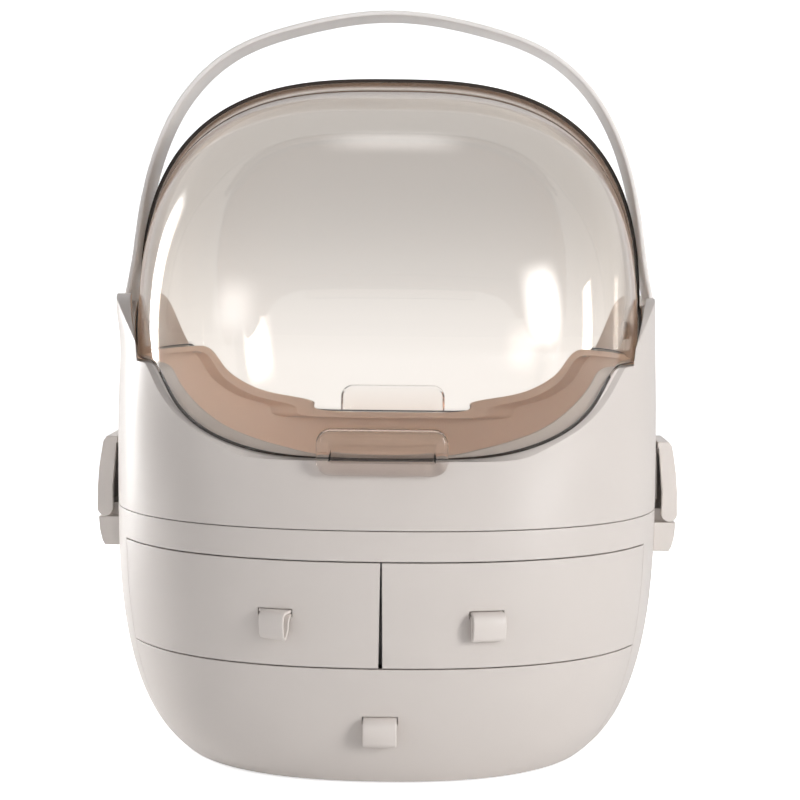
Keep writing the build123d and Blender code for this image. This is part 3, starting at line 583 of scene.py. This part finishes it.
def tab_block(side, lid_radius, rim_z, wall_y, width, height):
    """Pull tab: rounded-rectangle rings, drawn in as they near the soft front face; its back
    follows the lid above the rim and clears the wall below it."""
    middle = rim_z - TAB_DROP + height / 2
    face = wall_y + TAB_REACH

    def ring(inset, depth):
        line = rounded_section(width - 2 * inset, height - 2 * inset,
                               max(TAB_CORNER - inset, 0.2), 9)
        z = middle + line[:, 1]
        lid = np.sqrt(lid_radius ** 2 - (z - PIVOT_HEIGHT) ** 2) + TAB_PLAY
        back = np.where(z > rim_z + SEAT_GAP, lid, wall_y + SEAT_GAP)
        y = np.maximum(back, depth) if depth else back
        return np.stack([line[:, 0], side * y, z], 1)

    rings = [ring(e, 0) for e in np.linspace(TAB_CLOSE, TAB_BACK, 9)]
    rings += [ring(TAB_EDGE * (1 - cos(a)), face - TAB_EDGE * (1 - sin(a)))
              for a in np.linspace(0, pi / 2, 8)]
    rings += [ring(e, face + TAB_CROWN * (e - TAB_EDGE))
              for e in np.linspace(TAB_EDGE + 1, TAB_CLOSE, 4)]
    return sweep(rings)


def wall_spot(x, z):
    """Where a strap leaves a drawer front: the point on the superellipse plan, whose half
    width shrinks by a power of the drop below the widest height, and the turns that square
    the strap to the face."""
    def half(height):
        drop = (WIDEST_HEIGHT - height) / TAPER_DEPTH
        width = BODY_HALF_WIDTH * (1 - drop ** TAPER_START) ** (1 / TAPER_END)
        return width, BODY_HALF_DEPTH - DEPTH_FOLLOW * (BODY_HALF_WIDTH - width)
    wide, deep = half(z)
    lean = np.arctan2(half(z + 1)[1] - half(z - 1)[1], 2)
    y = -deep * (1 - (abs(x) / wide) ** PLAN_POWER) ** (1 / PLAN_POWER)
    normal_x = np.copysign((abs(x) / wide) ** (PLAN_POWER - 1) / wide, x)
    turn = np.arctan2(normal_x, (abs(y) / deep) ** (PLAN_POWER - 1) / deep)
    return np.array([x, y, z]), turn, lean


def strap_loop(spot, width, thick, twist):
    """Strap pull: a rounded band section carried out of the slot, down in a drop-shaped loop
    and back into the slot; away from the slot it turns by the twist."""
    path = smooth_line(STRAP_PATH, (-1, 0), (1, 0), 90)
    along = np.gradient(path, axis=0)
    along /= np.linalg.norm(along, axis=1)[:, None]
    across, up = rounded_section(width, thick, thick * STRAP_ROLL, 4).T
    share = np.clip((TWIST_START - path[:, :1]) / TWIST_RUN, 0, 1)
    angle = twist * share ** 2 * (3 - 2 * share)
    x = across * np.cos(angle)
    y = path[:, :1] - along[:, 1:] * up - across * np.sin(angle) * TWIST_SHEAR
    z = path[:, 1:] + along[:, :1] * up
    origin, turn, lean = spot
    y, z = y * np.cos(lean) - z * np.sin(lean), y * np.sin(lean) + z * np.cos(lean)
    x, y = x * np.cos(turn) - y * np.sin(turn), x * np.sin(turn) + y * np.cos(turn)
    return sweep(np.stack([x, y, z], -1) + origin)


class ORGANIZER_OT_lids(bpy.types.Operator):
    """Shapes both see-through lids"""
    bl_idname = "organizer.lids"
    bl_label = "Lids"

    def execute(self, context):
        sizes, colours = context.scene.organizer_sizes, context.scene.organizer_colours
        clear = clear_plastic("lid_clear", colours.lid_rim, 0.02, LID_DENSITY, colours.lid)
        # The cut edges get painted shade: a near-black line.
        edge = painted_dark_edge_plastic("lid_edge_painted_dark", colours.lid_edge_painted_dark)
        thick = sizes.lid_thickness / MM
        for name, half_width, radius, side, lap in (
                ("front_lid", sizes.front_lid_half_width, sizes.front_lid_radius, -1,
                 FRONT_LAP),
                ("rear_lid", sizes.rear_lid_half_width, sizes.rear_lid_radius, 1, REAR_LAP)):
            verts, faces, slots = lid_plate(half_width / MM, radius / MM, side, lap, thick)
            piece = add_mesh(f"{name}_shell", verts, faces, [clear, edge], slots)
            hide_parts(name)
            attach(piece, name)
        return {"FINISHED"}


class ORGANIZER_OT_tabs(bpy.types.Operator):
    """Shapes the lids' pull tabs"""
    bl_idname = "organizer.tabs"
    bl_label = "Lid Tabs"

    def execute(self, context):
        sizes, colours = context.scene.organizer_sizes, context.scene.organizer_colours
        clear = clear_plastic("tab_clear", colours.lid_rim, 0.04, TAB_DENSITY, colours.tab)
        for name, side, radius, seat in (
                ("front_lid", -1, sizes.front_lid_radius, FRONT_TAB_SEAT),
                ("rear_lid", 1, sizes.rear_lid_radius, REAR_TAB_SEAT)):
            verts, faces, slots = tab_block(side, radius / MM, *seat,
                                            sizes.tab_width / MM, sizes.tab_height / MM)
            piece = add_mesh(f"{name}_tab_block", verts, faces, [clear], slots)
            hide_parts(f"{name}_tab")
            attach(piece, name)
        return {"FINISHED"}


class ORGANIZER_OT_handle(bpy.types.Operator):
    """Shapes the carry handle"""
    bl_idname = "organizer.handle"
    bl_label = "Carry Handle"

    def execute(self, context):
        sizes, colours = context.scene.organizer_sizes, context.scene.organizer_colours
        plastic = moulded_plastic("handle_plastic", colours.handle, 0.3, edge=0)
        verts, faces, slots = handle_plate(sizes.handle_width / MM,
                                           sizes.handle_thickness / MM)
        piece = add_mesh("carry_handle_band", verts, faces, [plastic], slots)
        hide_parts("carry_handle")
        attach(piece, "carry_handle")
        return {"FINISHED"}


def paint_inside_light(name, inner):
    """Gives a second, tan finish to the faces of a round shell that look towards its middle,
    and to its floor: painted light for the shade and the brown-tinted light inside."""
    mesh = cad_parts[name].data
    mesh.materials.append(inner)
    count = len(mesh.polygons)
    centre, normal = np.empty(count * 3), np.empty(count * 3)
    mesh.polygons.foreach_get("center", centre)
    mesh.polygons.foreach_get("normal", normal)
    centre, normal = centre.reshape(-1, 3), normal.reshape(-1, 3)
    away = np.hypot(centre[:, 0], centre[:, 1]) + 1e-9
    outward = (centre[:, 0] * normal[:, 0] + centre[:, 1] * normal[:, 1]) / away
    inward = outward < -LOOKS_INWARD
    floor = (normal[:, 2] > LOOKS_UP) & (centre[:, 2] < FLOOR_TOP)
    slots = ((centre[:, 2] > CASE_FLOOR) & (inward | floor)).astype(np.int32)
    mesh.polygons.foreach_set("material_index", slots)
    mesh.update()


class ORGANIZER_OT_shells(bpy.types.Operator):
    """Finishes the upper case, the cabinet and the drawer fronts"""
    bl_idname = "organizer.shells"
    bl_label = "Case, Cabinet and Fronts"

    def execute(self, context):
        colours = context.scene.organizer_colours
        plastic = moulded_plastic("shell_plastic", colours.shell)
        dress(["upper_case", "cabinet_shell", "upper_left_drawer_front",
               "upper_right_drawer_front", "lower_drawer_front"], plastic)
        # The inside of the case gets painted light: a tan for its shade and its brown-tinted
        # light.
        paint_inside_light("upper_case", moulded_plastic("case_inside_painted_light", colours.case_inside_painted_light, 0.4))
        return {"FINISHED"}


class ORGANIZER_OT_pulls(bpy.types.Operator):
    """Shapes the strap pulls and finishes their clips"""
    bl_idname = "organizer.pulls"
    bl_label = "Strap Pulls"

    def execute(self, context):
        sizes, colours = context.scene.organizer_sizes, context.scene.organizer_colours
        strap = moulded_plastic("strap_plastic", colours.strap, 0.45, 0.12, 0)
        for drawer, x, z, twist in STRAPS:
            verts, faces, slots = strap_loop(wall_spot(x, z), sizes.strap_width / MM,
                                             sizes.strap_thickness / MM, twist)
            piece = add_mesh(f"{drawer}_strap", verts, faces, [strap], slots)
            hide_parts(f"{drawer}_drawer_pull")
            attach(piece, f"{drawer}_drawer")
        dress([f"{strap[0]}_drawer_pull_clip" for strap in STRAPS],
              moulded_plastic("clip_plastic", colours.inner, 0.45))
        return {"FINISHED"}


class ORGANIZER_OT_latches(bpy.types.Operator):
    """Finishes the side latches"""
    bl_idname = "organizer.latches"
    bl_label = "Side Latches"

    def execute(self, context):
        colours = context.scene.organizer_colours
        plastic = moulded_plastic("latch_plastic", colours.latch, 0.32, edge=0.0009)
        dress([f"{s}_latch_{k}" for s in ("left", "right")
               for k in ("lever", "bracket", "catch")], plastic)
        dress(["left_latch_pin", "right_latch_pin"], brushed_metal("pin_steel"))
        return {"FINISHED"}


class ORGANIZER_OT_inner_parts(bpy.types.Operator):
    """Finishes the trays, shelf, divider, base, pivots, screws and feet"""
    bl_idname = "organizer.inner_parts"
    bl_label = "Inner Parts"

    def execute(self, context):
        colours = context.scene.organizer_colours
        inner = moulded_plastic("inner_plastic", colours.inner, 0.42)
        dress(["middle_shelf", "drawer_divider", "base_plate"], inner)
        dress([f"{strap[0]}_drawer_tray" for strap in STRAPS], inner)
        dress([f"{s}_pivot_{k}" for s in ("left", "right") for k in ("pin", "washer", "clip")],
              moulded_plastic("pivot_plastic", colours.latch, 0.4))
        dress(["base_screws"], brushed_metal("screw_steel"))
        dress(["rubber_feet"], moulded_plastic("rubber_pads", (0.3, 0.29, 0.28), 0.8, 0.2))
        return {"FINISHED"}


def white_with_painted_fall(name, colour):
    """Matt white surface. A camera and reflections see it lit and glowing plain white;
    see-through parts see a glow painted on it, painted light that falls off with height."""
    material, tree, shader = new_material(name)
    shader.inputs["Base Color"].default_value = [*colour, 1]
    shader.inputs["Roughness"].default_value = 0.9
    shader.inputs["Specular IOR Level"].default_value = 0.1
    shader.inputs["Emission Color"].default_value = (1, 1, 1, 1)
    path = tree.nodes.new("ShaderNodeLightPath")
    seen = multiply_add(tree, path.outputs["Is Camera Ray"], STAGE_GLOW, 0.0)
    seen = multiply_add(tree, path.outputs["Is Glossy Ray"], STAGE_GLOW * MIRRORED_GLOW, seen)
    tree.links.new(seen, shader.inputs["Emission Strength"])
    place = tree.nodes.new("ShaderNodeTexCoord")
    split = tree.nodes.new("ShaderNodeSeparateXYZ")
    span = tree.nodes.new("ShaderNodeMapRange")
    span.inputs["From Max"].default_value = PAINTED_LIGHT_FALL_HEIGHT
    painted_fall = tree.nodes.new("ShaderNodeValToRGB")
    painted_fall.color_ramp.interpolation = "B_SPLINE"
    while len(painted_fall.color_ramp.elements) < len(PAINTED_LIGHT_FALL):
        painted_fall.color_ramp.elements.new(0.5)
    for element, (position, level) in zip(painted_fall.color_ramp.elements, PAINTED_LIGHT_FALL):
        element.position = position
        element.color = (level, level, level, 1)
    tree.links.new(place.outputs["Object"], split.inputs[0])
    tree.links.new(split.outputs["Z"], span.inputs["Value"])
    tree.links.new(span.outputs["Result"], painted_fall.inputs["Fac"])
    # Painted light: a glow graded by height stands in for the studio light falling off.
    painted_sweep_light = tree.nodes.new("ShaderNodeEmission")
    tree.links.new(painted_fall.outputs["Color"], painted_sweep_light.inputs["Color"])
    either = tree.nodes.new("ShaderNodeMixShader")
    tree.links.new(path.outputs["Is Transmission Ray"], either.inputs[0])
    tree.links.new(shader.outputs[0], either.inputs[1])
    tree.links.new(painted_sweep_light.outputs[0], either.inputs[2])
    tree.links.new(either.outputs[0], tree.nodes["Output"].inputs["Surface"])
    return material


def area_lamp(name, place, target, size, power):
    """Soft rectangular lamp that faces its target; its light fades towards its edges, so that
    no hard window shape is mirrored in the clear parts."""
    light = bpy.data.lights.new(name, "AREA")
    light.shape = "RECTANGLE"
    light.size, light.size_y = size
    light.energy = power
    light.use_nodes = True
    tree = light.node_tree
    shine = next(n for n in tree.nodes if n.type == "EMISSION")
    where = tree.nodes.new("ShaderNodeNewGeometry")
    split = tree.nodes.new("ShaderNodeSeparateXYZ")
    tree.links.new(where.outputs["Parametric"], split.inputs[0])
    both = tree.nodes.new("ShaderNodeMath")
    both.operation = "MULTIPLY"
    for side, axis in zip(both.inputs, "XY"):
        fold = tree.nodes.new("ShaderNodeMath")
        fold.operation = "PINGPONG"
        fold.inputs[1].default_value = 0.5
        fade = tree.nodes.new("ShaderNodeMapRange")
        fade.interpolation_type = "SMOOTHSTEP"
        fade.inputs["From Max"].default_value = LAMP_FEATHER
        fade.inputs["To Max"].default_value = LAMP_PEAK
        tree.links.new(split.outputs[axis], fold.inputs[0])
        tree.links.new(fold.outputs[0], fade.inputs["Value"])
        tree.links.new(fade.outputs["Result"], side)
    tree.links.new(both.outputs[0], shine.inputs["Strength"])
    lamp = bpy.data.objects.new(name, light)
    bpy.context.scene.collection.objects.link(lamp)
    lamp.location = place
    aim = np.array(target) - np.array(place)
    lamp.rotation_euler = Vector(aim).to_track_quat("-Z", "Y").to_euler()


class ORGANIZER_OT_stage(bpy.types.Operator):
    """Sets up the floor, the backdrop, the lamps and the camera"""
    bl_idname = "organizer.stage"
    bl_label = "Stage, Lamps and Camera"

    def execute(self, context):
        colours = context.scene.organizer_colours
        white = white_with_painted_fall("stage_white", colours.backdrop)
        turn = np.linspace(0, pi / 2, 24)
        bend = np.stack([SWEEP_BEND + BEND_RADIUS * np.sin(turn),
                         BEND_RADIUS * (1 - np.cos(turn))], 1)
        line = np.vstack([(SWEEP_FRONT, 0), bend, (SWEEP_BEND + BEND_RADIUS, SWEEP_TOP)])
        across = np.tile([-SWEEP_HALF_WIDTH, SWEEP_HALF_WIDTH], len(line))
        verts = np.column_stack([across, np.repeat(line, 2, axis=0)]) / MM
        piece = add_mesh("studio_sweep", verts, grid_faces(len(line), 2), [white])
        world = bpy.data.worlds.new("studio")
        context.scene.world = world
        world.use_nodes = True
        tree = world.node_tree
        tree.nodes["Background"].inputs["Color"].default_value = (0.97, 0.97, 1, 1)
        path = tree.nodes.new("ShaderNodeLightPath")
        level = WORLD_LEVEL
        for ray, more in WORLD_EXTRA:
            level = multiply_add(tree, path.outputs[ray], more, level)
        tree.links.new(level, tree.nodes["Background"].inputs["Strength"])
        for lamp in LAMPS:
            area_lamp(*lamp)
        camera = bpy.data.cameras.new("camera")
        camera.lens = FOCAL_LENGTH / IMAGE_SIZE * camera.sensor_width
        camera.shift_y = IMAGE_SHIFT / IMAGE_SIZE
        camera.clip_start, camera.clip_end = 0.05, 20
        eye = bpy.data.objects.new("camera", camera)
        context.scene.collection.objects.link(eye)
        eye.location = CAMERA_PLACE
        eye.rotation_mode = "QUATERNION"
        yaw = Quaternion((0, 0, 1), radians(CAMERA_YAW))
        pitch = Quaternion((1, 0, 0), radians(90 - CAMERA_DOWN))
        tilt = Quaternion((0, 0, 1), radians(CAMERA_ROLL))
        eye.rotation_quaternion = yaw @ pitch @ tilt
        context.scene.camera = eye
        context.scene.view_settings.view_transform = "Standard"
        return {"FINISHED"}


class ORGANIZER_PT_panel(bpy.types.Panel):
    """Lists the organizer's sizes, colours and pieces"""
    bl_idname = "ORGANIZER_PT_panel"
    bl_label = "Makeup Organizer"
    bl_space_type = "VIEW_3D"
    bl_region_type = "UI"
    bl_category = "Organizer"

    def draw(self, context):
        for group in (context.scene.organizer_sizes, context.scene.organizer_colours):
            for name in group.bl_rna.properties.keys():
                if name not in ("rna_type", "name"):
                    self.layout.prop(group, name)
        for operator in PIECES:
            self.layout.operator(operator.bl_idname)


PIECES = (ORGANIZER_OT_shells, ORGANIZER_OT_lids, ORGANIZER_OT_tabs, ORGANIZER_OT_handle,
          ORGANIZER_OT_pulls, ORGANIZER_OT_latches, ORGANIZER_OT_inner_parts,
          ORGANIZER_OT_stage)
CLASSES = (OrganizerSizes, OrganizerColours, *PIECES, ORGANIZER_PT_panel)


def register():
    for cls in CLASSES:
        bpy.utils.register_class(cls)
    bpy.types.Scene.organizer_sizes = bpy.props.PointerProperty(type=OrganizerSizes)
    bpy.types.Scene.organizer_colours = bpy.props.PointerProperty(type=OrganizerColours)


def unregister():
    del bpy.types.Scene.organizer_sizes
    del bpy.types.Scene.organizer_colours
    for cls in reversed(CLASSES):
        bpy.utils.unregister_class(cls)


def main():
    register()
    for operator in PIECES:
        group, name = operator.bl_idname.split(".")
        getattr(getattr(bpy.ops, group), name)()


if __name__ == "__main__":
    main()
